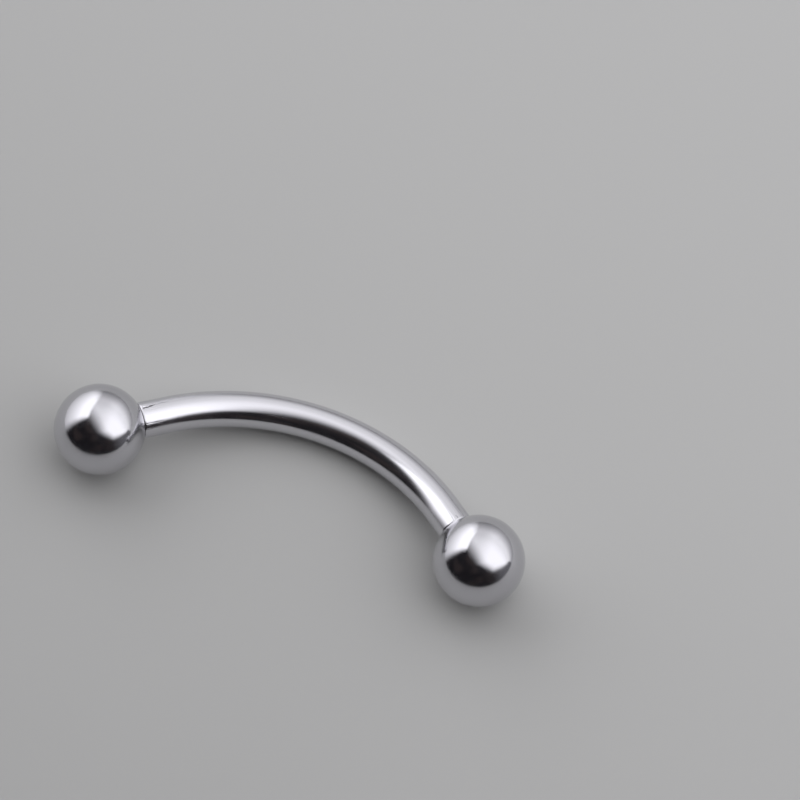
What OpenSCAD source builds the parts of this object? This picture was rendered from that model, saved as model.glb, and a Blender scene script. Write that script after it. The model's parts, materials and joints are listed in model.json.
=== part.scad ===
// Curved eyebrow barbell: a bent bar with a polished ball screwed into each end.
// It lies as it would by itself, on both balls and on the outside of its bend.
// Millimetres, +Z up. X runs from the left ball to the right one, and the bend bows to +Y.
// The origin is on the table, under the middle of the outline.

/* [Bar] */
// Thickness of the bar
wire_d = 1.2; // [1:0.05:1.6]
// Clear distance between the two balls, the size that a barbell is sold by
inner_span = 10.2; // [8:0.1:14]
// How far the bar turns from one end to the other, in degrees
bend_angle = 80; // [50:1:110]
// Straight stretch at each end, before the bend starts
straight_end = 0.85; // [0.4:0.05:1.5]
// Chamfer inside and outside each end face
end_chamfer = 0.04; // [0.02:0.005:0.045]

/* [Balls] */
// Diameter of each ball
ball_d = 3; // [2.4:0.1:4]
// Depth of the blind hole for the post's stem, from the ball's countersink
stem_hole_depth = 1.1; // [0.6:0.05:1.3]
// Seam between a ball's flat seat and the bar's end
seam = 0.02; // [0.01:0.01:0.1]

/* [Thread] */
// Wall of the bar round its tapped hole
end_wall = 0.12; // [0.1:0.005:0.15]
// Distance from one crest of the thread to the next
thread_lead = 0.225; // [0.2:0.005:0.25]
// Length of the thread on each post
thread_length = 1.06; // [0.7:0.02:1.3]
// Depth of the tapped hole beyond the post's tip
hole_spare = 0.2; // [0.1:0.02:0.3]
// Running clearance between the post's thread and the bar's
thread_gap = 0.03; // [0.02:0.005:0.035]

/* [Posts] */
// Length of the plain neck inside the bar's mouth
neck_length = 0.2; // [0.1:0.01:0.3]
// Room round the neck in the bar's mouth
neck_room = 0.08; // [0.04:0.01:0.1]
// Step in from the foot of the thread to the stem
stem_step = 0.06; // [0.03:0.01:0.08]
// Running clearance of the neck round the stem
stem_gap = 0.03; // [0.02:0.005:0.04]
// Gap left where a post and its neck sit in the ball
fit_gap = 0.01; // [0.005:0.005:0.02]
// Chamfer on the post's tip
tip_chamfer = 0.1; // [0.04:0.01:0.12]

/* [Hidden] */
$fn = 96;
// Facets in one turn of a thread
thread_sides = 16;
// Half of the angle between a thread's flanks
flank = 30;
// A 60 degree thread's depth and the flat on its crest, as shares of its lead
depth_share = 0.58;
crest_share = 1 / 8;
// The bar's mouth is bored out a little wider than its thread
relief_gap = 0.01;
// A ball's flat seat reaches this far past the bar's edge
seat_margin = 0.01;
// A ball's countersink is this much narrower than the bar's mouth
seat_land = 0.03;
// How far a cutting shape reaches past the face that it cuts
past = 0.05;
// A straight end is this much thinner than the bend that it is rooted in
root_step = 0.002;
// Half of the angle of a drill's point
drill_half_angle = 59;

ball_r = ball_d / 2;
wire_r = wire_d / 2;
relief_r = wire_r - end_wall;
mouth_r = relief_r + end_chamfer;

thread_depth = depth_share * thread_lead;
crest_flat = crest_share * thread_lead;
groove_r = relief_r - relief_gap;
crest_r = groove_r - thread_gap;
root_r = crest_r - thread_depth;
neck_r = relief_r - neck_room;
stem_r = root_r - stem_step;
countersink_r = mouth_r - seat_land;
seat_r = wire_r + seat_margin;

// Distances from a ball's centre along the end of the bar
seat_z = sqrt(ball_r * ball_r - seat_r * seat_r);
face_z = seat_z + seam;
neck_top_z = seat_z - (countersink_r - neck_r) + 2 * fit_gap;
neck_end_z = face_z + neck_length;
stem_end_z = seat_z - stem_hole_depth;

half_bend = bend_angle / 2;
half_chord = inner_span / 2 + ball_r;
end_reach = face_z + straight_end;
bend_r = (half_chord - end_reach * cos(half_bend)) / sin(half_bend);
// From the line through the ball centres to the bar's middle, in the plane of the bend
rise = end_reach * sin(half_bend) + bend_r * (1 - cos(half_bend));
// The bend leans down until it touches what the balls stand on
lean = asin((ball_r - wire_r) / rise);
ball_y = -(rise * cos(lean) + wire_r - ball_r) / 2;

// From the plane of the bend, with the ball centres on its X axis, to the resting place
module resting() {
    translate([0, ball_y, ball_r])
        rotate([-lean, 0, 0])
            children();
}

// From an end's own frame to the plane of the bend.
// In that frame the ball's centre is the origin and +Z points out of the bar.
module at_end(side) {
    rotate([0, side == "left" ? 180 : 0, 0])
        translate([half_chord, 0, 0])
            rotate([0, 0, -half_bend])
                rotate([0, 90, 0])
                    children();
}

// A right-handed screw about Z with square ends at low and high.
// Each turn is a row of facets, and tip is its radius at the low end, where it grows at 45 degrees.
module screw(crest, root, flat, low, high, tip) {
    n = thread_sides;
    first = floor(low / thread_lead) - 2;
    turns = ceil(high / thread_lead) + 2 - first;
    steps = turns * n;
    half_top = flat / 2;
    half_foot = half_top + (crest - root) * tan(flank);
    profile = [[root, -half_foot], [crest, -half_top], [crest, half_top], [root, half_foot]];
    wound = [for (i = [0 : steps]) for (p = profile)
        let (z = thread_lead * (first + i / n) + p[1],
             r = min(p[0], max(root / 2, tip + z - low)),
             angle = 360 * i / n)
        [r * cos(angle), r * sin(angle), z]];
    foot = len(wound);
    head = foot + 1;
    middles = [[0, 0, thread_lead * first - half_foot],
               [0, 0, thread_lead * (first + turns) + half_foot]];
    last = 4 * steps;
    crests = [for (i = [0 : steps - 1]) for (j = [0 : 2])
        let (a = 4 * i + j, b = a + 4, c = a + 5, d = a + 1)
        each [[a, d, c], [a, c, b]]];
    roots = [for (i = [0 : steps - n - 1])
        let (a = 4 * i + 3, b = a + 4, c = 4 * (i + 1 + n), d = 4 * (i + n))
        each [[a, d, c], [a, c, b]]];
    low_cap = concat([for (i = [0 : n - 1]) [foot, 4 * i, 4 * i + 4]],
                     [[foot, 4 * n, 3], [foot, 3, 2], [foot, 2, 1], [foot, 1, 0]]);
    high_cap = concat([for (i = [steps - n : steps - 1]) [head, 4 * i + 7, 4 * i + 3]],
                      [[head, last - 4 * n + 3, last]],
                      [for (j = [0 : 2]) [head, last + j, last + j + 1]]);
    intersection() {
        polyhedron(points = concat(wound, middles),
                   faces = concat(crests, roots, low_cap, high_cap), convexity = 10);
        translate([-2 * crest, -2 * crest, low])
            cube([4 * crest, 4 * crest, high - low]);
    }
}

// What is drilled, tapped and bored out of one end of the bar
module tapped_hole() {
    drill_r = root_r + thread_gap - relief_gap;
    bottom = -thread_length - hole_spare;
    point = drill_r / tan(drill_half_angle);
    translate([0, 0, -neck_end_z]) {
        screw(groove_r, root_r + thread_gap, crest_flat + thread_gap, bottom, past, wire_r);
        translate([0, 0, bottom - past])
            cylinder(r = drill_r, h = hole_spare + past);
        translate([0, 0, bottom - past - point])
            cylinder(r1 = 0, r2 = drill_r, h = point);
        cylinder(r = relief_r, h = neck_length + past);
    }
    translate([0, 0, -face_z - end_chamfer])
        cylinder(r1 = relief_r, r2 = mouth_r, h = end_chamfer);
}

// The straight stretch at one end, rooted in the bend, with its outer edge broken
module bar_end() {
    end_r = wire_r - root_step;
    translate([0, 0, -end_reach - past])
        cylinder(r = end_r, h = straight_end + past - end_chamfer);
    translate([0, 0, -face_z - end_chamfer])
        cylinder(r1 = end_r, r2 = end_r - end_chamfer, h = end_chamfer);
}

module bar() {
    color("silver") resting() difference() {
        union() {
            translate([0, rise - bend_r, 0])
                rotate_extrude(angle = bend_angle, start = 90 - half_bend)
                    translate([bend_r, 0])
                        circle(r = wire_r);
            at_end("left") bar_end();
            at_end("right") bar_end();
        }
        at_end("left") tapped_hole();
        at_end("right") tapped_hole();
    }
}

// A ball with a flat seat for the bar's end, drilled and countersunk for its post
module ball(side) {
    hole_r = stem_r + fit_gap;
    color("gainsboro") resting() at_end(side) difference() {
        sphere(r = ball_r);
        translate([0, 0, -ball_r - past])
            cylinder(r = seat_r + past, h = ball_r + past - seat_z);
        translate([0, 0, -seat_z - past])
            cylinder(r = hole_r, h = stem_hole_depth + past);
        translate([0, 0, -seat_z])
            cylinder(r1 = countersink_r, r2 = hole_r, h = countersink_r - hole_r);
    }
}

// The plain shoulder between the ball and the thread
module neck(side) {
    color("whitesmoke") resting() at_end(side) difference() {
        translate([0, 0, -neck_end_z + fit_gap])
            cylinder(r = neck_r, h = neck_end_z - fit_gap - neck_top_z);
        translate([0, 0, -neck_end_z])
            cylinder(r = stem_r + stem_gap, h = neck_end_z);
    }
}

// The threaded post, with the stem that holds it in the ball
module post(side) {
    color("lightgray") resting() at_end(side) {
        translate([0, 0, -neck_end_z])
            screw(crest_r, root_r, crest_flat, -thread_length, 0, crest_r - tip_chamfer);
        translate([0, 0, -neck_end_z - thread_length / 2])
            cylinder(r = stem_r, h = thread_length / 2 + neck_end_z - stem_end_z - fit_gap);
    }
}

bar();
ball("left");  // left_ball
neck("left");  // left_neck
post("left");  // left_post
ball("right");  // right_ball
neck("right");  // right_neck
post("right");  // right_post
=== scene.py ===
# %% [markdown]
# A curved eyebrow barbell
#
# This notebook dresses one small piece of body jewellery: a bent bar of polished steel with a ball
# screwed into each end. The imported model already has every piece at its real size, but its balls
# and its bend are made of flat facets, and a mirror finish shows each one. So every piece is made
# again here with fine, smooth meshes, exactly where the model has it, and gets its own steel.
# The camera comes first, then the floor and the lights, the finishes, and the pieces.

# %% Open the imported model
import json
import math

import bmesh
import bpy
from mathutils import Matrix, Vector


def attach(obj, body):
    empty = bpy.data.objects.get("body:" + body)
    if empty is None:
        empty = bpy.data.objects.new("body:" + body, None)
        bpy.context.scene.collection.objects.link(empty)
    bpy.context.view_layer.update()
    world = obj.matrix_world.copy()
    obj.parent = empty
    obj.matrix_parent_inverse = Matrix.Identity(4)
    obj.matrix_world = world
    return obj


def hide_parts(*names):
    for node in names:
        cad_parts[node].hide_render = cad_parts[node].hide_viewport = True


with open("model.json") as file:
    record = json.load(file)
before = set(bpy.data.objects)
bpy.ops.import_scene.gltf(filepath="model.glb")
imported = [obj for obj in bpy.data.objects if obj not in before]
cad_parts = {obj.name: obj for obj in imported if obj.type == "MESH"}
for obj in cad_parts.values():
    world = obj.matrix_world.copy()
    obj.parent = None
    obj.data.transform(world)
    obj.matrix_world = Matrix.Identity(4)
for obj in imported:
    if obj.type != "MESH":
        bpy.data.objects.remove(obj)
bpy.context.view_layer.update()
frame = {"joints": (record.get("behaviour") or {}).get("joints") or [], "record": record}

MM = 0.001
SIDES = ("left", "right")


# %% [markdown]
# Where the pieces are
#
# Nothing is placed by eye. The joints tell where each ball's centre is and which way each end of
# the bar points, and the mount tells where the middle of the bend is. With the ends' direction
# and the height of the bend known, two equations give the straight reach of each end and the
# radius of the bend. Sizes are kept in millimetres, because Blender's mesh tools have tolerances
# meant for sizes near one, and a thread a quarter of a millimetre from crest to crest would
# otherwise be lost in them.

# %% Read the bend from the model
def named(rows, name):
    """The row of a list that has this name."""
    return next(row for row in rows if row["name"] == name)


turn_joints = {side: named(frame["joints"], side + "_ball_turn") for side in SIDES}
centre = {side: Vector(turn_joints[side]["pos_m"]) / MM for side in SIDES}
outward = {side: Vector(turn_joints[side]["axis"]).normalized() for side in SIDES}
mount = named(frame["record"]["mounts"], "bar_middle")
crown = Vector(mount["pos_m"]) / MM
wire_r = mount["dims"]["r_mm"]
ball_r = centre["left"].z

across = centre["right"] - centre["left"]
half_chord = across.length / 2
across.normalize()
middle = (centre["left"] + centre["right"]) / 2
rise = (crown - middle).length
bow = (crown - middle).normalized()
plane_normal = across.cross(bow)
half_bend = outward["right"].angle(across)
cos_bend, sin_bend = math.cos(half_bend), math.sin(half_bend)
end_reach = (rise * sin_bend - half_chord * (1 - cos_bend)) / (1 - cos_bend)
bend_r = (half_chord * sin_bend - rise * cos_bend) / (1 - cos_bend)
bend_centre = crown - bow * bend_r
print(f"bend of {math.degrees(2 * half_bend):.1f} degrees at a radius of {bend_r:.3f} mm")
print(f"each end runs straight for {end_reach:.3f} mm from its ball's centre")


def end_place(side):
    """The frame of one end, in mm: the ball's centre is its origin and +Z points out of the bar."""
    z = outward[side]
    x = plane_normal if side == "left" else -plane_normal
    y = z.cross(x)
    return Matrix.Translation(centre[side]) @ Matrix((x, y, z)).transposed().to_4x4()


# %% [markdown]
# The sizes of the ends
#
# A screwed end is a nest of small steps: the wall at the bar's end, its bored-out mouth, the
# thread, the neck, and the stem that holds the ball. They are given here in millimetres, as the
# model has them. The lead of the thread is read from the joint that couples a ball's turn to its
# travel, and every radius follows from the wire, one wall or clearance at a time.

# %% Work out the sizes of the ends
ratio = next(row["ratio"] for row in frame["record"]["behaviour"]["couplings"])
lead = 2 * math.pi / ratio / MM
seam = 0.02
end_wall = 0.12
end_chamfer = 0.04
thread_length = 1.06
hole_spare = 0.2
thread_gap = 0.03
neck_length = 0.2
neck_room = 0.08
stem_step = 0.06
stem_gap = 0.03
fit_gap = 0.01
tip_chamfer = 0.1
stem_hole_depth = 1.1
relief_gap = 0.01
seat_land = 0.03
seat_margin = 0.01
drill_past = 0.05
drill_half_angle = math.radians(59)
# A 60 degree thread's depth and the flat on its crest, as shares of its lead
depth_share = 0.58
crest_share = 1 / 8

relief_r = wire_r - end_wall
mouth_r = relief_r + end_chamfer
thread_depth = depth_share * lead
crest_flat = crest_share * lead
groove_r = relief_r - relief_gap
crest_r = groove_r - thread_gap
root_r = crest_r - thread_depth
neck_r = relief_r - neck_room
stem_r = root_r - stem_step
countersink_r = mouth_r - seat_land
seat_r = wire_r + seat_margin
drill_r = root_r + thread_gap - relief_gap
seat_z = math.sqrt(ball_r**2 - seat_r**2)
face_z = seat_z + seam
neck_end_z = face_z + neck_length
neck_top_z = seat_z - (countersink_r - neck_r) + 2 * fit_gap
print(f"thread lead {lead:.4f} mm, crest radius {crest_r:.3f} mm, root radius {root_r:.4f} mm")

# %% [markdown]
# The camera
#
# The photograph looks steeply down on the barbell with a long lens from about 20 cm, turned a
# little to the right, and the barbell lies in the lower left of the picture. The lens follows
# from how wide a strip of the table the picture takes in at that distance.

# %% Set up the camera
camera_elevation = math.radians(65.3)
camera_azimuth = math.radians(20.7)
camera_distance = 0.2
view_width = 0.02626
aim = Vector((2.07, 3.68, 0.75)) * MM
back = Vector((
    math.sin(camera_azimuth) * math.cos(camera_elevation),
    -math.cos(camera_azimuth) * math.cos(camera_elevation),
    math.sin(camera_elevation),
))
camera_data = bpy.data.cameras.new("camera")
camera_data.sensor_width = 36
camera_data.lens = camera_data.sensor_width * camera_distance / view_width
camera_data.clip_start = 0.01
camera_data.clip_end = 5
camera = bpy.data.objects.new("camera", camera_data)
camera.location = aim + back * camera_distance
camera.rotation_mode = "QUATERNION"
camera.rotation_quaternion = (-back).to_track_quat("-Z", "Y")
bpy.context.scene.collection.objects.link(camera)
bpy.context.scene.camera = camera
print(f"lens {camera_data.lens:.0f} mm")

# %% [markdown]
# Small helpers
#
# A material here is a short list of nodes, so one helper adds a node and fills its sockets, and
# two more add the nodes that are used most. The mesh helpers wrap what nearly every piece needs:
# pulling edges out, breaking a sharp edge, and turning a finished bmesh into an object.

# %% Helpers for materials
def start_material(name):
    material = bpy.data.materials.new(name)
    material.use_nodes = True
    material.node_tree.nodes.clear()
    return material, material.node_tree


def add(tree, kind, sockets=None, **settings):
    """Adds a node. A socket gets either a link, when it is given another node's output, or a value."""
    made = tree.nodes.new(kind)
    for name, value in settings.items():
        setattr(made, name, value)
    for name, value in (sockets or {}).items():
        if isinstance(value, bpy.types.NodeSocket):
            tree.links.new(value, made.inputs[name])
        else:
            made.inputs[name].default_value = value
    return made


def math_of(tree, operation, value, *others):
    """Changes a value by a Math node, or joins it with others by one node for each of them."""
    for other in others or (0.0,):
        value = add(tree, "ShaderNodeMath", {0: value, 1: other}, operation=operation).outputs[0]
    return value


def ramp_of(tree, value, low, high, start=0.0, end=1.0, smooth=False):
    """Maps value from low..high to start..end and stops there."""
    kind = "SMOOTHSTEP" if smooth else "LINEAR"
    sockets = {"Value": value, "From Min": low, "From Max": high, "To Min": start, "To Max": end}
    return add(tree, "ShaderNodeMapRange", sockets, interpolation_type=kind).outputs["Result"]


# %% Helpers for meshes
def points_of(geom):
    return [g for g in geom if isinstance(g, bmesh.types.BMVert)]


def pull(bm, edges, way):
    """Extrudes edges and moves the new ones by way. Returns the new points and their edges."""
    geom = bmesh.ops.extrude_edge_only(bm, edges=edges)["geom"]
    points = points_of(geom)
    bmesh.ops.translate(bm, vec=way, verts=points)
    new_edges = [g for g in geom if isinstance(g, bmesh.types.BMEdge)]
    return points, [e for e in new_edges if all(v in points for v in e.verts)]


def break_edges(bm, edges, width, segments=2, clamp_overlap=False):
    """Rounds sharp edges by a small bevel, because a real edge never comes to a knife's edge."""
    bmesh.ops.bevel(bm, geom=edges, offset=width, segments=segments, profile=0.5, affect="EDGES",
                    material=-1, clamp_overlap=clamp_overlap)


def show(bm, name, material, smooth_angle=None):
    """Turns a bmesh into an object of the scene, and frees the bmesh."""
    mesh = bpy.data.meshes.new(name)
    bm.to_mesh(mesh)
    bm.free()
    mesh.materials.append(material)
    if smooth_angle is not None:
        mesh.polygons.foreach_set("use_smooth", [True] * len(mesh.polygons))
        mesh.set_sharp_from_angle(angle=math.radians(smooth_angle))
    piece = bpy.data.objects.new(name, mesh)
    bpy.context.scene.collection.objects.link(piece)
    print(f"{name}: {len(mesh.vertices)} vertices, {len(mesh.polygons)} faces")
    return piece


# %% [markdown]
# The floor
#
# The barbell lies on a plain pale table top. Its balls mirror the table, so it isn't quite even:
# a faint soft mottling keeps the mirrored table from looking like flat paint.

# %% Make the floor
FLOOR_HALF = 2.0
FLOOR_COLOUR = (0.475, 0.477, 0.467, 1)


def floor_material():
    material, tree = start_material("pale_table")
    place = add(tree, "ShaderNodeTexCoord").outputs["Object"]
    mottle = add(tree, "ShaderNodeTexNoise", {"Vector": place, "Scale": 60.0, "Detail": 3.0})
    rough = ramp_of(tree, mottle.outputs["Fac"], low=0.3, high=0.7, start=0.5, end=0.62)
    shader = add(tree, "ShaderNodeBsdfPrincipled", {
        "Base Color": FLOOR_COLOUR, "Roughness": rough, "Specular IOR Level": 0.3})
    add(tree, "ShaderNodeOutputMaterial", {"Surface": shader.outputs["BSDF"]})
    return material


bm = bmesh.new()
bmesh.ops.create_grid(bm, x_segments=1, y_segments=1, size=FLOOR_HALF)
floor = show(bm, "floor", floor_material())

# %% [markdown]
# The lights
#
# Polished steel has hardly any look of its own: what shows is the room in it. The photograph's
# balls tell what that room was: a wide sheet of diffusing cloth overhead, a brighter panel to the
# left, and darkness in front. An area light could stand for either cloth, but it is flat and
# evenly bright to its hard edge. A glowing mesh can be bent, can change in brightness and can
# fade towards its edges, as a real diffuser does. The lights' places are in metres.

# %% A diffuser that fades at its edges
GLOW_COLOUR = (1.0, 0.995, 1.025, 1)


def glow(name, light_of):
    """A glowing cloth. light_of gives its power, and a share that falls from 1 to 0 where it fades."""
    material, tree = start_material(name)
    place = add(tree, "ShaderNodeTexCoord").outputs["Object"]
    power, there = light_of(tree, place)
    lamp = add(tree, "ShaderNodeEmission", {"Color": GLOW_COLOUR, "Strength": power})
    nothing = add(tree, "ShaderNodeBsdfTransparent")
    faded = add(tree, "ShaderNodeMixShader", {0: there, 1: nothing.outputs[0], 2: lamp.outputs[0]})
    add(tree, "ShaderNodeOutputMaterial", {"Surface": faded.outputs[0]})
    return material


def inside_of(tree, place, point, facing, soft):
    """1 on the side of a straight edge that facing points to, 0 on the other, fading by soft each way."""
    facing = Vector(facing).normalized()
    dot = add(tree, "ShaderNodeVectorMath", {0: place, 1: facing}, operation="DOT_PRODUCT")
    edge = facing.dot(Vector(point))
    return ramp_of(tree, dot.outputs["Value"], edge - soft, edge + soft, smooth=True)


# %% [markdown]
# The overhead sheet
#
# The sheet hung over the barbell and down behind it, and was brightest at the upper right. The
# camera looked over its front edge. It is one line, along the top, round a soft corner and down
# to the table, and that line is pulled out sideways.

# %% Set the sheet's light
SHEET_HEIGHT = 0.1
SHEET_POWER = 1.62
# How the light changes along each axis. Places are counted in heights of the sheet.
SHEET_SHADES = (
    dict(axis="X", low=-0.2, high=0.6, start=0.71, end=1.0, smooth=True),
    dict(axis="Y", low=0.2, high=1.1, start=1.0, end=0.78, smooth=True),
    dict(axis="Z", low=0.0, high=1.0, start=0.25, end=1.0, smooth=False),
)
# Its faded edges, in heights too: a point on each, the way to its lit side and half the fade
SHEET_EDGES = (
    dict(point=(0.32, -0.47, 1), facing=(0.637, 0.771, 0), soft=0.36),
    dict(point=(0.32, -0.47, 1), facing=(0.219, 0.976, 0), soft=0.28),
    dict(point=(1.4, -0.75, 1), facing=(-0.447, 0.894, 0), soft=0.42),
)


def sheet_light(tree, place):
    """Brightest at the front right, dimmer towards the left, the back and the table."""
    h = SHEET_HEIGHT
    split = add(tree, "ShaderNodeSeparateXYZ", {0: place}).outputs
    power = SHEET_POWER
    for shade in SHEET_SHADES:
        share = ramp_of(tree, split[shade["axis"]], shade["low"] * h, shade["high"] * h,
                        shade["start"], shade["end"], shade["smooth"])
        power = math_of(tree, "MULTIPLY", power, share)
    edges = [inside_of(tree, place, [x * h for x in edge["point"]], edge["facing"], edge["soft"] * h)
             for edge in SHEET_EDGES]
    return power, math_of(tree, "MINIMUM", *edges)


# %% Hang the overhead sheet
SHEET_LEFT = -0.5 * SHEET_HEIGHT
SHEET_RIGHT = 5.0 * SHEET_HEIGHT
SHEET_FRONT = -1.3 * SHEET_HEIGHT
SHEET_BACK = 1.45 * SHEET_HEIGHT
SHEET_CURVE = 0.25 * SHEET_HEIGHT
CURVE_STEPS = 12

bm = bmesh.new()
front_end = bm.verts.new((SHEET_LEFT, SHEET_FRONT, SHEET_HEIGHT))
corner_start = bm.verts.new((SHEET_LEFT, SHEET_BACK - SHEET_CURVE, SHEET_HEIGHT))
bm.edges.new((front_end, corner_start))
curved = bmesh.ops.spin(bm, geom=[corner_start], axis=(-1, 0, 0), steps=CURVE_STEPS,
                        cent=(SHEET_LEFT, SHEET_BACK - SHEET_CURVE, SHEET_HEIGHT - SHEET_CURVE),
                        angle=math.radians(90))
corner_end = points_of(curved["geom_last"])[0]
print("sheet's corner ends at", [round(x / MM) for x in corner_end.co])
hem = bmesh.ops.extrude_vert_indiv(bm, verts=[corner_end])["verts"]
bmesh.ops.translate(bm, vec=(0, 0, -corner_end.co.z), verts=hem)
pull(bm, bm.edges[:], (SHEET_RIGHT - SHEET_LEFT, 0, 0))
sheet = show(bm, "overhead_sheet", glow("sheet_glow", sheet_light))
sheet.visible_camera = False

# %% [markdown]
# The left panel
#
# The panel stood upright, and shows in each ball as the bright patch left of the sheet's. Its foot
# is one edge that is pulled up. The light fades at its front edge, which leans back a little, and
# a thin dark line along its top parts it from the sheet.

# %% Stand the left panel
PANEL_FRONT = Vector((-0.071, -0.042, 0))
PANEL_BACK = Vector((-0.071, 0.212, 0))
PANEL_HEIGHT = 0.142
PANEL_POWER = 1.72
PANEL_FOOT_SHARE = 0.42
PANEL_FOOT_HEIGHT = 0.06
PANEL_FAR_SHARE = 0.45
PANEL_FAR_START = 0.11
PANEL_FAR_END = 0.19
PANEL_EDGE = PANEL_FRONT + Vector((0, 0.0165, 0))
PANEL_EDGE_FACING = (0, 1, -0.14)
PANEL_EDGE_SOFT = 0.0145
PANEL_TOP_SOFT = 0.003


def panel_light(tree, place):
    """Dimmer low down and far back, with a soft leaning front edge and a thin dark line along its top."""
    split = add(tree, "ShaderNodeSeparateXYZ", {0: place}).outputs
    foot = ramp_of(tree, split["Z"], 0.0, PANEL_FOOT_HEIGHT, start=PANEL_FOOT_SHARE)
    far = ramp_of(tree, split["Y"], PANEL_FAR_START, PANEL_FAR_END, start=1.0, end=PANEL_FAR_SHARE)
    front = inside_of(tree, place, PANEL_EDGE, PANEL_EDGE_FACING, PANEL_EDGE_SOFT)
    top = inside_of(tree, place, (0, 0, PANEL_HEIGHT - PANEL_TOP_SOFT), (0, 0, -1), PANEL_TOP_SOFT)
    return math_of(tree, "MULTIPLY", PANEL_POWER, foot, far), math_of(tree, "MULTIPLY", front, top)


bm = bmesh.new()
foot_edge = bm.edges.new([bm.verts.new(PANEL_FRONT), bm.verts.new(PANEL_BACK)])
pull(bm, [foot_edge], (0, 0, PANEL_HEIGHT))
panel = show(bm, "left_panel", glow("panel_glow", panel_light))
panel.visible_camera = False

# %% [markdown]
# The dark room
#
# What no cloth fills is the room itself. In plain black the steel's dark parts would look like
# holes, so the room is nearly black, with faint warm patches, and a little lighter to the right.
# It is far away, so it is the world's background and not a mesh.

# %% Darken the rest of the room
ROOM_DARK = (0.013, 0.012, 0.014, 1)
ROOM_WARM = (0.034, 0.027, 0.027, 1)
ROOM_RIGHT = (0.15, 0.148, 0.16, 1)
RIGHTWARD = (0.87, 0.49, 0)


def blend_of(tree, factor, first, second):
    """One colour where factor is 0 and another where it is 1."""
    return add(tree, "ShaderNodeMix", {"Factor": factor, "A": first, "B": second},
               data_type="RGBA").outputs["Result"]


def dark_room():
    """Nearly black in front, with faint warm patches, and a little lighter far to the right."""
    world = bpy.data.worlds.new("dark_room")
    world.use_nodes = True
    tree = world.node_tree
    direction = add(tree, "ShaderNodeTexCoord").outputs["Generated"]
    patches = add(tree, "ShaderNodeTexNoise", {"Vector": direction, "Scale": 2.2, "Detail": 1.0})
    warmth = ramp_of(tree, patches.outputs["Fac"], low=0.48, high=0.7, smooth=True)
    rightward = add(tree, "ShaderNodeVectorMath", {0: direction, 1: RIGHTWARD}, operation="DOT_PRODUCT")
    lighter = ramp_of(tree, rightward.outputs["Value"], low=0.35, high=0.85, smooth=True)
    room = blend_of(tree, lighter, blend_of(tree, warmth, ROOM_DARK, ROOM_WARM), ROOM_RIGHT)
    tree.links.new(room, tree.nodes["Background"].inputs["Color"])
    return world


bpy.context.scene.world = dark_room()
bpy.context.scene.view_settings.view_transform = "Standard"
print("view transform:", bpy.context.scene.view_settings.view_transform)

# %% [markdown]
# The steels
#
# The bar and the balls are one metal with different finishes, so they share one recipe: a metal
# whose roughness drifts a little from place to place, with marks that dull it and dent it. Most
# marks are less than a micrometre deep, and even the nicks less than ten. They are bump and
# roughness, since they are far too small to change the outline. The nicks are also painted dark,
# as painted shade in the cut with some grime in it, and the grip lines a little darker. Every
# piece keeps its own coordinates as an attribute, in millimetres and before it is put in place,
# so that its marks follow the piece and not the room, and the scale of a noise texture counts
# features to the millimetre.

# %% A steel with marks on it
OWN = "own_mm"
# The dark colour that marks are mixed towards: painted shade in the nicks, with some grime, and darker grip
# lines
SHADE_AND_MARK_STEEL = (0.07, 0.065, 0.07, 1)
MARK_DULLING = 0.1


def own_coordinates(tree):
    return add(tree, "ShaderNodeAttribute", attribute_name=OWN).outputs["Vector"]


def streaks(tree, place, stretch, turned, scale, low, high):
    """Thin marks: noise pulled out along one direction, of which only the highest ridges are kept."""
    pulled = add(tree, "ShaderNodeMapping", {"Vector": place, "Rotation": turned, "Scale": stretch})
    noise = add(tree, "ShaderNodeTexNoise", {
        "Vector": pulled.outputs["Vector"], "Scale": scale, "Detail": 2.0, "Roughness": 0.6})
    return ramp_of(tree, noise.outputs["Fac"], low, high)


def steel(name, colour, make_marks, roughness, depth):
    """A steel. make_marks gives its marks' height, how much they dull it, and where it is painted darker:
    painted shade in nicks, and darker grip lines.
    """
    material, tree = start_material(name)
    place = own_coordinates(tree)
    clouds = add(tree, "ShaderNodeTexNoise", {"Vector": place, "Scale": 1.1, "Detail": 4.0})
    height, dulling, shade_and_marks = make_marks(tree, place)
    smoothest, roughest = roughness
    cloudy = ramp_of(tree, clouds.outputs["Fac"], low=0.3, high=0.7, start=smoothest, end=roughest)
    rough = math_of(tree, "ADD", cloudy, math_of(tree, "MULTIPLY", dulling, MARK_DULLING))
    bump = add(tree, "ShaderNodeBump", {"Height": height, "Strength": 1.0, "Distance": depth})
    # Painted shade: the nicks' colour is darkened as the shade in the cut, and the grip lines' a little
    if shade_and_marks is not None:
        colour = blend_of(tree, shade_and_marks, colour, SHADE_AND_MARK_STEEL)
    shader = add(tree, "ShaderNodeBsdfPrincipled", {
        "Base Color": colour, "Metallic": 1.0, "Roughness": rough, "Normal": bump.outputs["Normal"]})
    add(tree, "ShaderNodeOutputMaterial", {"Surface": shader.outputs["BSDF"]})
    print(f"{name}: {len(tree.nodes)} nodes")
    return material


# %% [markdown]
# The balls' finish
#
# A ball is tumbled and buffed, which leaves fine short marks that cross each other. A painted
# picture of scratches would have to be unwrapped, and it would pinch at the poles. Noise that is
# pulled out along one direction needs no unwrapping. So four layers of it, each turned another
# way, lie over a faint waviness, which bends the mirrored edges a little as a real ball does.

# %% Mix the balls' steel
BALL_STEEL = (0.602, 0.598, 0.628, 1)
BUFFING_TURNS = ((0.3, 0.2, 0), (1.1, 0.9, 0.4), (2.0, 0.3, 1.3), (0.7, 2.2, 2.1))
WAVE_HEIGHT = 4.0
BUFFING_DEPTH = 0.5


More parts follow.
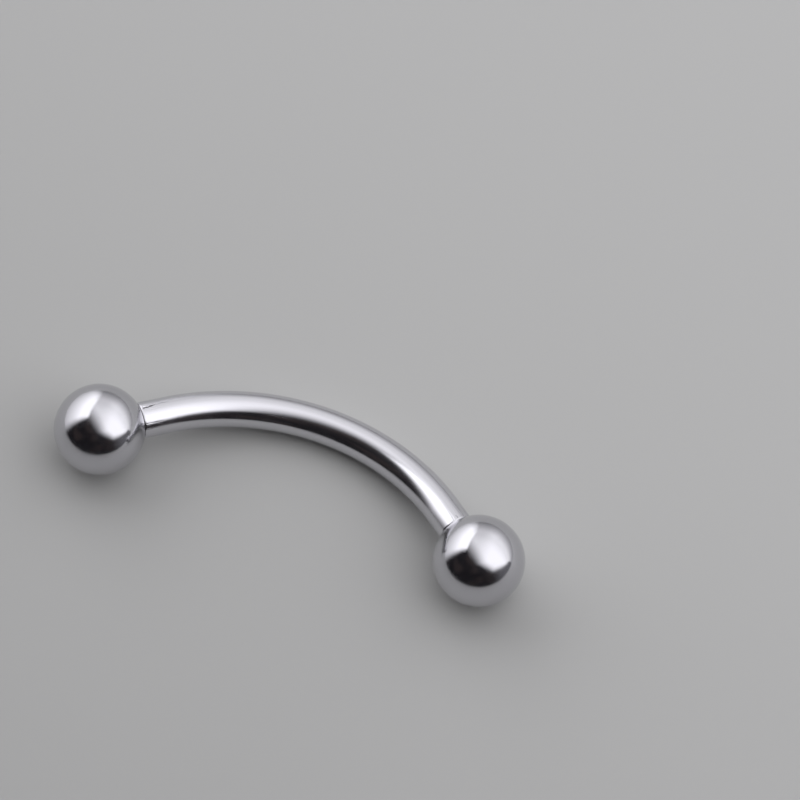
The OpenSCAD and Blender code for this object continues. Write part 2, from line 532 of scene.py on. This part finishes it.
def ball_marks(tree, place):
    """Buffing marks in four directions over a very faint waviness."""
    waves = add(tree, "ShaderNodeTexNoise", {"Vector": place, "Scale": 3.5, "Detail": 2.0}).outputs["Fac"]
    layers = [streaks(tree, place, (1, 1, 0.05), turned, scale=22.0, low=0.63, high=0.72)
              for turned in BUFFING_TURNS]
    marks = math_of(tree, "MAXIMUM", *layers)
    height = math_of(tree, "MULTIPLY", waves, WAVE_HEIGHT)
    height = math_of(tree, "SUBTRACT", height, math_of(tree, "MULTIPLY", marks, BUFFING_DEPTH))
    return height, marks, None


ball_steel = steel("polished_ball", BALL_STEEL, ball_marks, roughness=(0.11, 0.16), depth=3e-7)

# %% [markdown]
# The bar's finish
#
# The bar is drawn through a die and polished along its length, so its marks are long hairlines.
# Near its ends, where it was held to be tapped, there are coarser lines, fine uneven ones on its
# outer side, and a few small nicks. These have a place, so they aren't left to chance: how far
# along the bar and how far round it a point lies is worked out from the piece's own coordinates,
# and a nick is what lies close to a short line there.

# %% Cut the nicks
BAR_HALF = bend_r * half_bend + end_reach - face_z
# Places along the bar and widths in millimetres, angles round it in degrees
NICKS = (
    dict(start=-BAR_HALF + 0.04, end=-BAR_HALF + 0.60, angle=0.0, slope=9.0, width=0.042, share=1.0),
    dict(start=-BAR_HALF + 0.30, end=-BAR_HALF + 1.20, angle=6.0, slope=6.0, width=0.016, share=0.6),
    dict(start=BAR_HALF - 0.20, end=BAR_HALF - 0.04, angle=-4.0, slope=5.0, width=0.020, share=0.5),
)
BURR = dict(start=-BAR_HALF + 0.10, end=-BAR_HALF + 0.70, angle=7.5, slope=8.0, width=0.030, share=1.0)
# The most that a nick wavers from side to side, in radians
NICK_WAVER = 0.2
# The shares of its width and length within which it is whole
NICK_CORE = 0.4
NICK_BEGUN = 0.12
NICK_FADING = 0.6
print(f"the bar is {2 * BAR_HALF:.2f} mm long along its middle")


def around_bar(tree, split):
    """The angle round the bar: 0 on its upper side, and 90 degrees on the outside of its bend."""
    return math_of(tree, "ARCTAN2", split["Y"], split["X"])


def nick(tree, place, start, end, angle, slope, width, share):
    """Up to share inside a thin wavering cut from start to end, at an angle that shifts by slope."""
    split = add(tree, "ShaderNodeSeparateXYZ", {0: place}).outputs
    along = ramp_of(tree, split["Z"], start, end)
    noise = add(tree, "ShaderNodeTexNoise", {"Vector": place, "Scale": 9.0, "Detail": 3.0}).outputs["Fac"]
    waver = math_of(tree, "MULTIPLY", math_of(tree, "SUBTRACT", noise, 0.5), NICK_WAVER)
    shift = math_of(tree, "MULTIPLY", along, math.radians(slope))
    wanted = math_of(tree, "ADD", shift, math.radians(angle), waver)
    off = math_of(tree, "ABSOLUTE", math_of(tree, "SUBTRACT", around_bar(tree, split), wanted))
    inside = ramp_of(tree, off, NICK_CORE * width / wire_r, width / wire_r, start=1.0, end=0.0, smooth=True)
    begun = ramp_of(tree, along, low=0.0, high=NICK_BEGUN)
    ended = ramp_of(tree, along, low=NICK_FADING, high=1.0, start=1.0, end=0.0)
    return math_of(tree, "MULTIPLY", begun, ended, inside, share)


# %% Draw the grip lines
GRIP_STEP = 0.085
GRIP_UNEVEN = 18.0
GRIP_BEGIN = (math.radians(25), math.radians(42))
GRIP_END = (math.radians(85), math.radians(100))


def near_ends(tree, split, reach, full):
    """0 along the middle of the bar. It starts to rise at reach from either end, to 1 at full from it."""
    along = math_of(tree, "ABSOLUTE", split["Z"])
    return ramp_of(tree, along, BAR_HALF - reach, BAR_HALF - full, smooth=True)


def grip_lines(tree, place):
    """1 in fine uneven lines on the bar's outer side, left near its ends where it was held."""
    split = add(tree, "ShaderNodeSeparateXYZ", {0: place}).outputs
    around = around_bar(tree, split)
    pulled = add(tree, "ShaderNodeMapping", {"Vector": place, "Scale": (1, 1, 0.15)}).outputs["Vector"]
    noise = add(tree, "ShaderNodeTexNoise", {"Vector": pulled, "Scale": 4.0, "Detail": 2.0}).outputs["Fac"]
    phase = math_of(tree, "MULTIPLY", around, 2 * math.pi * wire_r / GRIP_STEP)
    phase = math_of(tree, "ADD", phase, math_of(tree, "MULTIPLY", noise, GRIP_UNEVEN))
    lines = ramp_of(tree, math_of(tree, "SINE", phase), low=0.2, high=0.9)
    begun = ramp_of(tree, around, *GRIP_BEGIN, smooth=True)
    ended = ramp_of(tree, around, *GRIP_END, start=1.0, end=0.0, smooth=True)
    return math_of(tree, "MULTIPLY", begun, ended, lines, near_ends(tree, split, reach=0.8, full=0.3))


# %% Mix the bar's steel
BAR_STEEL = (0.690, 0.685, 0.718, 1)
# How far the nicks are painted dark, as painted shade in the cut with some grime in it
NICK_DARKNESS = 0.85
GRIP_DARKNESS = 0.2


def bar_marks(tree, place):
    """Hairlines along the bar with a few deeper ones, coarse ones near its ends, and nicks there."""
    straight = (0, 0, 0)
    fine = streaks(tree, place, (1, 1, 0.02), straight, scale=26.0, low=0.35, high=0.65)
    deep = streaks(tree, place, (1, 1, 0.03), straight, scale=13.0, low=0.64, high=0.72)
    coarse = streaks(tree, place, (1, 1, 0.06), straight, scale=17.0, low=0.54, high=0.68)
    split = add(tree, "ShaderNodeSeparateXYZ", {0: place}).outputs
    coarse = math_of(tree, "MULTIPLY", coarse, near_ends(tree, split, reach=0.9, full=0.1))
    lines = grip_lines(tree, place)
    nicks = math_of(tree, "MAXIMUM", *[nick(tree, place, **one) for one in NICKS])
    burr = nick(tree, place, **BURR)
    height = fine
    # These count the bump's own distance: a nick is 30 times 0.3 micrometres deep.
    for marks, rise_of in ((deep, -1.5), (coarse, -10.0), (lines, -9.0), (nicks, -30.0), (burr, 25.0)):
        height = math_of(tree, "ADD", height, math_of(tree, "MULTIPLY", marks, rise_of))
    # The nicks' darker colour is painted shade in the cut, with some grime; the grip lines are darkened a
    # little
    nick_shade = math_of(tree, "MULTIPLY", nicks, NICK_DARKNESS)
    line_cuts = math_of(tree, "MULTIPLY", lines, GRIP_DARKNESS)
    return height, math_of(tree, "MAXIMUM", deep, nicks), math_of(tree, "MAXIMUM", nick_shade, line_cuts)


bar_steel = steel("polished_bar", BAR_STEEL, bar_marks, roughness=(0.15, 0.20), depth=3e-7)

# %% [markdown]
# The steel of the necks and threads
#
# The necks are left as the lathe made them, with fine rings round them. A thread's crests are
# rubbed bright where they meet the other thread, and its grooves stay dull. The grooves are also
# painted darker, as painted shade in them, with some grime. The thread's mesh stores how far each
# point is out of the groove, and the material reads it.

# %% Mix the turned and cut steels
CREST = "crest"
NECK_STEEL = (0.58, 0.575, 0.585, 1)
# The grooves' colour is painted shade, darker towards the bottom of the groove
GROOVE_SHADE_STEEL = (0.30, 0.29, 0.29, 1)
CREST_STEEL = (0.60, 0.595, 0.605, 1)
GRIME_SHARE = 0.3


def neck_marks(tree, place):
    rings = streaks(tree, place, (0.05, 0.05, 1), (0, 0, 0), scale=60.0, low=0.3, high=0.7)
    return rings, rings, None


def thread_steel():
    material, tree = start_material("cut_thread")
    place = own_coordinates(tree)
    out = add(tree, "ShaderNodeAttribute", attribute_name=CREST).outputs["Fac"]
    grime = add(tree, "ShaderNodeTexNoise", {"Vector": place, "Scale": 14.0, "Detail": 4.0}).outputs["Fac"]
    # worn is the wear on the crests and, in the colour, the painted shade in the grooves, with grime noise
    worn = math_of(tree, "ADD", out, math_of(tree, "MULTIPLY", grime, GRIME_SHARE))
    worn = ramp_of(tree, worn, low=0.25, high=1.1)
    # Painted shade: the colour darkens towards the bottom of the groove
    colour = blend_of(tree, worn, GROOVE_SHADE_STEEL, CREST_STEEL)
    rough = ramp_of(tree, worn, low=0.0, high=1.0, start=0.42, end=0.18)
    bump = add(tree, "ShaderNodeBump", {"Height": grime, "Strength": 1.0, "Distance": 1.5e-6})
    shader = add(tree, "ShaderNodeBsdfPrincipled", {
        "Base Color": colour, "Metallic": 1.0, "Roughness": rough, "Normal": bump.outputs["Normal"]})
    add(tree, "ShaderNodeOutputMaterial", {"Surface": shader.outputs["BSDF"]})
    print(f"cut_thread: {len(tree.nodes)} nodes")
    return material


neck_steel = steel("turned_neck", NECK_STEEL, neck_marks, roughness=(0.16, 0.22), depth=8e-7)
cut_steel = thread_steel()

# %% [markdown]
# Turning a profile
#
# Balls, necks and the ends of the bar are all turned on a lathe, and Blender's spin operator is
# that lathe: a row of points is drawn in the plane of the axis and swept once round it. The row
# starts as one vertex that is extruded from point to point, and an arc of it is that vertex spun
# round the arc's own centre. The spin's own merging closes the sweep, and points on the axis,
# which it repeats, are merged after it.

# %% A lathe
MERGE = 1e-4
AROUND = 128


def draw(bm, start, r, z):
    """Extrudes the row's last vertex to radius r and height z, and returns the new one."""
    new = bmesh.ops.extrude_vert_indiv(bm, verts=[start])["verts"][0]
    new.co = (r, 0, z)
    return new


def sweep(bm, geom):
    """Sweeps a row once round the Z axis and closes it."""
    bmesh.ops.spin(bm, geom=geom, cent=(0, 0, 0), axis=(0, 0, 1), steps=AROUND,
                   angle=2 * math.pi, use_merge=True, use_duplicate=False)


def turn(bm):
    """Turns a piece that is drawn as one row, and merges what it repeats on the axis."""
    sweep(bm, bm.verts[:] + bm.edges[:])
    bmesh.ops.remove_doubles(bm, verts=bm.verts[:], dist=MERGE)


def ring_of(bm, r, z):
    """The edges of a turned piece that run round it at radius r and height z."""
    return [e for e in bm.edges if all(
        abs(v.co.z - z) < MERGE and abs(math.hypot(v.co.x, v.co.y) - r) < MERGE for v in e.verts)]


# %% [markdown]
# Finishing a piece
#
# A spin can leave a shape inside out, and a mirror finish shows every open seam. So each piece has
# its normals recalculated and its volume and open edges measured. Then its mesh is moved to its
# place and brought from millimetres to metres, while its object stays at the origin.

# %% Finish a piece
def keep_own(bm, own_place=Vector.copy):
    """Stores each vertex's own place, before the piece is moved, for the materials."""
    layer = bm.verts.layers.float_vector.new(OWN)
    for v in bm.verts:
        v[layer] = own_place(v.co)
    return layer


def finish_piece(bm, name, material, smooth_angle, place=None):
    """Puts a piece in place, turns millimetres into metres and makes it an object."""
    bmesh.ops.recalc_face_normals(bm, faces=bm.faces[:])
    if bm.calc_volume(signed=True) < 0:
        bmesh.ops.reverse_faces(bm, faces=bm.faces[:])
    open_edges = sum(not e.is_manifold for e in bm.edges)
    print(f"{name}: {bm.calc_volume(signed=True):.3f} mm3, {open_edges} open edges")
    if place is not None:
        bm.transform(place)
    bm.transform(Matrix.Scale(MM, 4))
    return show(bm, name, material, smooth_angle)


# %% [markdown]
# The balls
#
# A ball is an arc from its far pole to the flat seat that the bar's end lies on, then the seat,
# its countersink and the blind hole that the post's stem sits in. The seat's edges are broken by
# a small bevel, so that they catch a thin line of light, as real ones do.

# %% Turn the two balls
POLE_STEPS = 72
SEAT_BREAK = 0.006


def make_ball(side):
    bm = bmesh.new()
    hole_r = stem_r + fit_gap
    floor_z = -seat_z + stem_hole_depth
    edge = bm.verts.new((seat_r, 0, -seat_z))
    arc = math.pi - math.asin(seat_r / ball_r)
    bmesh.ops.spin(bm, geom=[edge], cent=(0, 0, 0), axis=(0, -1, 0), steps=POLE_STEPS, angle=arc)
    row = edge
    for r, z in ((countersink_r, -seat_z), (hole_r, -seat_z + countersink_r - hole_r),
                 (hole_r, floor_z), (0, floor_z)):
        row = draw(bm, row, r, z)
    top = max(bm.verts, key=lambda v: v.co.z)
    print(f"{side} ball's far pole at radius {math.hypot(top.co.x, top.co.y):.5f}, height {top.co.z:.4f}")
    top.co.x = top.co.y = 0
    turn(bm)
    break_edges(bm, ring_of(bm, seat_r, -seat_z) + ring_of(bm, countersink_r, -seat_z), SEAT_BREAK)
    keep_own(bm)
    return finish_piece(bm, side + "_polished_ball", ball_steel, smooth_angle=40, place=end_place(side))


balls = {side: make_ball(side) for side in SIDES}

# %% [markdown]
# The thread
#
# A screw thread is also spun, but the row climbs while it turns. The row here is a zigzag of
# ridges along the axis. After one whole turn it has climbed by one ridge, so its end lands on
# the start of the next ridge and the two merge into one unbroken helix. The ragged first and
# last turns are sliced off square, as the real post is cut. The same helix serves the post and
# the tapped hole, which is a little wider, and both start at the same angle, so that the ball
# unscrews without the two ever touching.

# %% Wind a thread
THREAD_STEPS = 48
THREAD_BREAK = 0.016
FLANK = math.radians(30)
SHARP_FOLD = math.radians(30)


def wind(bm, crest, root, flat, low, high):
    """A thread's skin between low and high. A ridge's middle is at z = 0 where x is the radius."""
    half_top = flat / 2
    half_foot = half_top + (crest - root) * math.tan(FLANK)
    first, last = math.floor(low / lead) - 2, math.ceil(high / lead) + 1
    row = None
    for ridge in range(first, last + 1):
        for r, z in ((root, -half_foot), (crest, -half_top), (crest, half_top), (root, half_foot)):
            height = ridge * lead + z
            row = bm.verts.new((r, 0, height)) if row is None else draw(bm, row, r, height)
    bmesh.ops.spin(bm, geom=bm.verts[:] + bm.edges[:], cent=(0, 0, 0), axis=(0, 0, 1),
                   dvec=(0, 0, lead / THREAD_STEPS), steps=THREAD_STEPS, angle=2 * math.pi)
    bmesh.ops.remove_doubles(bm, verts=bm.verts[:], dist=MERGE)
    helix = [e for e in bm.edges if e.is_manifold and e.calc_face_angle(0) > SHARP_FOLD]
    break_edges(bm, helix, THREAD_BREAK, clamp_overlap=True)


def slice_square(bm, z, keep_above):
    """Cuts everything on one side of height z away and returns the edges of the cut."""
    geom = bm.verts[:] + bm.edges[:] + bm.faces[:]
    bmesh.ops.bisect_plane(bm, geom=geom, dist=1e-6, plane_co=(0, 0, z), plane_no=(0, 0, 1),
                           clear_inner=keep_above, clear_outer=not keep_above)
    return [e for e in bm.edges if e.is_boundary and all(abs(v.co.z - z) < MERGE for v in e.verts)]


def mark_crests(bm, root, crest):
    """Stores 0 at the bottom of the groove and 1 on the crest, for the material."""
    layer = bm.verts.layers.float.new(CREST)
    for v in bm.verts:
        radius = math.hypot(v.co.x, v.co.y)
        v[layer] = min(1.0, max(0.0, (radius - root) / (crest - root)))


# %% [markdown]
# The posts
#
# A post is a piece of thread with a plain stem, and the stem sits in the ball. The thread is
# drawn in towards its tip, so that it finds the tapped hole, and cut off flat. At its shoulder
# the last turn isn't round, so the flat step from it to the stem is filled between the two
# outlines, and the stem is that step's inner ring, pulled up.

# %% Close a flat step
def edges_at(points):
    """The edges that meet at some points, each once and always in the same order."""
    return list(dict.fromkeys(e for v in points for e in v.link_edges))


def circle(bm, radius, z):
    """A ring of points round the Z axis at height z, and its edges."""
    ring = bmesh.ops.create_circle(bm, cap_ends=False, radius=radius, segments=AROUND,
                                   matrix=Matrix.Translation((0, 0, z)))["verts"]
    return ring, edges_at(ring)


def fill_flat(bm, edges):
    """Fills the flat area between an outer and an inner outline."""
    bmesh.ops.triangle_fill(bm, use_beauty=True, edges=edges, normal=(0, 0, 1))


# %% Make the two threaded posts
def taper_tip(bm):
    """Draws the thread in towards the tip, to no less than half of its root's radius."""
    tip_r = crest_r - tip_chamfer
    for v in bm.verts:
        radius = math.hypot(v.co.x, v.co.y)
        limit = max(tip_r + v.co.z + thread_length, root_r / 2)
        if radius > limit:
            v.co.x *= limit / radius
            v.co.y *= limit / radius


def make_post(side):
    bm = bmesh.new()
    wind(bm, crest_r, root_r, crest_flat, -thread_length, 0)
    taper_tip(bm)
    mark_crests(bm, root_r, crest_r)
    tip = slice_square(bm, -thread_length, keep_above=True)
    bmesh.ops.holes_fill(bm, edges=tip)
    shoulder = slice_square(bm, 0, keep_above=False)
    bmesh.ops.translate(bm, vec=(0, 0, -neck_end_z), verts=bm.verts[:])
    _, foot = circle(bm, stem_r, -neck_end_z)
    fill_flat(bm, shoulder + foot)
    stem_top = -seat_z + stem_hole_depth - fit_gap
    _, top = pull(bm, foot, (0, 0, stem_top + neck_end_z))
    bmesh.ops.contextual_create(bm, geom=top)
    keep_own(bm)
    return finish_piece(bm, side + "_threaded_post", cut_steel, smooth_angle=50, place=end_place(side))


posts = {side: make_post(side) for side in SIDES}

# %% [markdown]
# The necks
#
# Between the ball and the thread the post has a plain round neck, which sits in the bored-out
# mouth of the bar. It is one turned ring round the stem, with its lower edge broken.

# %% Turn the two necks
NECK_BREAK = 0.015


def make_neck(side):
    bm = bmesh.new()
    low, high = -neck_end_z + fit_gap, -neck_top_z
    inner = stem_r + stem_gap
    first = bm.verts.new((inner, 0, low))
    outer = draw(bm, first, neck_r, low)
    upper = draw(bm, outer, neck_r, high)
    last = draw(bm, upper, inner, high)
    bm.edges.new((last, first))
    turn(bm)
    break_edges(bm, ring_of(bm, neck_r, low), NECK_BREAK)
    keep_own(bm)
    return finish_piece(bm, side + "_turned_neck", neck_steel, smooth_angle=40, place=end_place(side))


necks = {side: make_neck(side) for side in SIDES}

# %% [markdown]
# The ends of the bar
#
# The bar is one skin from the bottom of one tapped hole, out over its end, along the bend and
# down into the other hole. Each end is turned on the lathe down to the foot of its mouth, where
# a flat step joins it to the thread. The model's outer chamfer becomes a long shallow break with
# rounded corners, because that is what tumbling leaves of such an edge, and it catches a bright
# line of light beside the ball.

# %% Make an end of the bar
EDGE_LENGTH = 1.2 * end_chamfer
EDGE_DEPTH = 0.2 * end_chamfer
CORNER_SHARE = 0.5


def close_bottom(bm, thread_edges, bottom):
    """Closes the thread's lower end with the drill's plain hole and its pointed bottom."""
    _, ring_edges = circle(bm, drill_r, bottom)
    fill_flat(bm, thread_edges + ring_edges)
    _, low_edges = pull(bm, ring_edges, (0, 0, -drill_past))
    point, _ = pull(bm, low_edges, (0, 0, -drill_r / math.tan(drill_half_angle)))
    bmesh.ops.pointmerge(bm, verts=point, merge_co=(0, 0, point[0].co.z))


def turn_outside(bm):
    """Turns the end's outside, its worn edge and its mouth, and rounds the worn edge's corners."""
    before = set(bm.verts)
    row = bm.verts.new((wire_r, 0, -end_reach))
    for r, z in ((wire_r, -face_z - EDGE_LENGTH), (wire_r - EDGE_DEPTH, -face_z), (mouth_r, -face_z),
                 (relief_r, -face_z - end_chamfer), (relief_r, -neck_end_z)):
        row = draw(bm, row, r, z)
    profile = [v for v in bm.verts if v not in before]
    sweep(bm, profile + edges_at(profile))
    break_edges(bm, ring_of(bm, wire_r, -face_z - EDGE_LENGTH), CORNER_SHARE * EDGE_LENGTH, segments=3)
    break_edges(bm, ring_of(bm, wire_r - EDGE_DEPTH, -face_z), CORNER_SHARE * EDGE_DEPTH, segments=3)


def make_end(side):
    """One straight end with its edge, mouth, thread and drilled bottom, in place and as a mesh."""
    bm = bmesh.new()
    bottom = -thread_length - hole_spare
    wind(bm, groove_r, root_r + thread_gap, crest_flat + thread_gap, bottom, 0)
    mark_crests(bm, root_r + thread_gap, groove_r)
    thread_edges = slice_square(bm, bottom, keep_above=True)
    slice_square(bm, 0, keep_above=False)
    close_bottom(bm, thread_edges, bottom)
    bmesh.ops.translate(bm, vec=(0, 0, -neck_end_z), verts=bm.verts[:])
    turn_outside(bm)
    step = [e for e in ring_of(bm, relief_r, -neck_end_z) if e.is_boundary]
    rim = [e for e in bm.edges if e.is_boundary and e not in step and all(
        abs(v.co.z + neck_end_z) < MERGE for v in e.verts)]
    fill_flat(bm, step + rim)
    print(f"{side} end: {len(step)} edges round the mouth's foot, {len(rim)} round the thread")
    bm.transform(end_place(side))
    mesh = bpy.data.meshes.new(side + "_end")
    bm.to_mesh(mesh)
    bm.free()
    return mesh


# %% [markdown]
# The bend
#
# Between the ends the bar is a ring spun about the centre of the bend. The ring has as many
# points as the ends, so they merge without a seam. The marks on the bar run along it, so each
# point also stores where it would be if the bar were straight.

# %% Bend the bar between its ends
BEND_STEPS = 160


def straight_place(point):
    """A point's place if the bar were straight: above the bend's plane, outwards and along it."""
    arm = point - bend_centre
    up = arm.dot(plane_normal)
    angle = math.atan2(arm.dot(across), arm.dot(bow))
    if abs(angle) <= half_bend:
        flat = arm - plane_normal * up
        return Vector((up, flat.length - bend_r, angle * bend_r))
    side = "right" if angle > 0 else "left"
    own = end_place(side).inverted() @ point
    along = half_bend * bend_r + end_reach + own.z
    return Vector((up, own.y, along if side == "right" else -along))


def make_bar():
    bm = bmesh.new()
    for side in SIDES:
        mesh = make_end(side)
        bm.from_mesh(mesh)
        bpy.data.meshes.remove(mesh)
    at_left = end_place("left") @ Matrix.Translation((0, 0, -end_reach))
    ring = bmesh.ops.create_circle(bm, cap_ends=False, radius=wire_r, segments=AROUND,
                                   matrix=at_left)["verts"]
    bent = bmesh.ops.spin(bm, geom=ring + edges_at(ring), cent=bend_centre, axis=-plane_normal,
                          steps=BEND_STEPS, angle=2 * half_bend)
    last = [v.co for v in points_of(bent["geom_last"])]
    target = end_place("right") @ Vector((0, 0, -end_reach))
    missed = (sum(last, Vector()) / len(last) - target).length
    print(f"the bend ends {missed:.6f} mm from the right end")
    bmesh.ops.remove_doubles(bm, verts=bm.verts[:], dist=MERGE)
    layer = keep_own(bm, straight_place)
    for face in bm.faces:
        face.material_index = int(all(v[layer].xy.length < relief_r + MERGE for v in face.verts))
    piece = finish_piece(bm, "polished_bar", bar_steel, smooth_angle=40)
    piece.data.materials.append(cut_steel)
    print("faces inside the tapped holes:", sum(p.material_index for p in piece.data.polygons))
    return piece


bar = make_bar()

# %% [markdown]
# Put the pieces on their bodies
#
# Each new piece rides on the body that moves it and stands for the plain solid that it replaces:
# the ball and its post turn, the neck only travels, and the bar stays where it is.

# %% Join the pieces to the model
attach(bar, "bar")
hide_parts("bar")
for side in SIDES:
    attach(balls[side], side + "_ball")
    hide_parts(side + "_ball")
    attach(posts[side], side + "_ball")
    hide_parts(side + "_post")
    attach(necks[side], side + "_neck")
    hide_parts(side + "_neck")
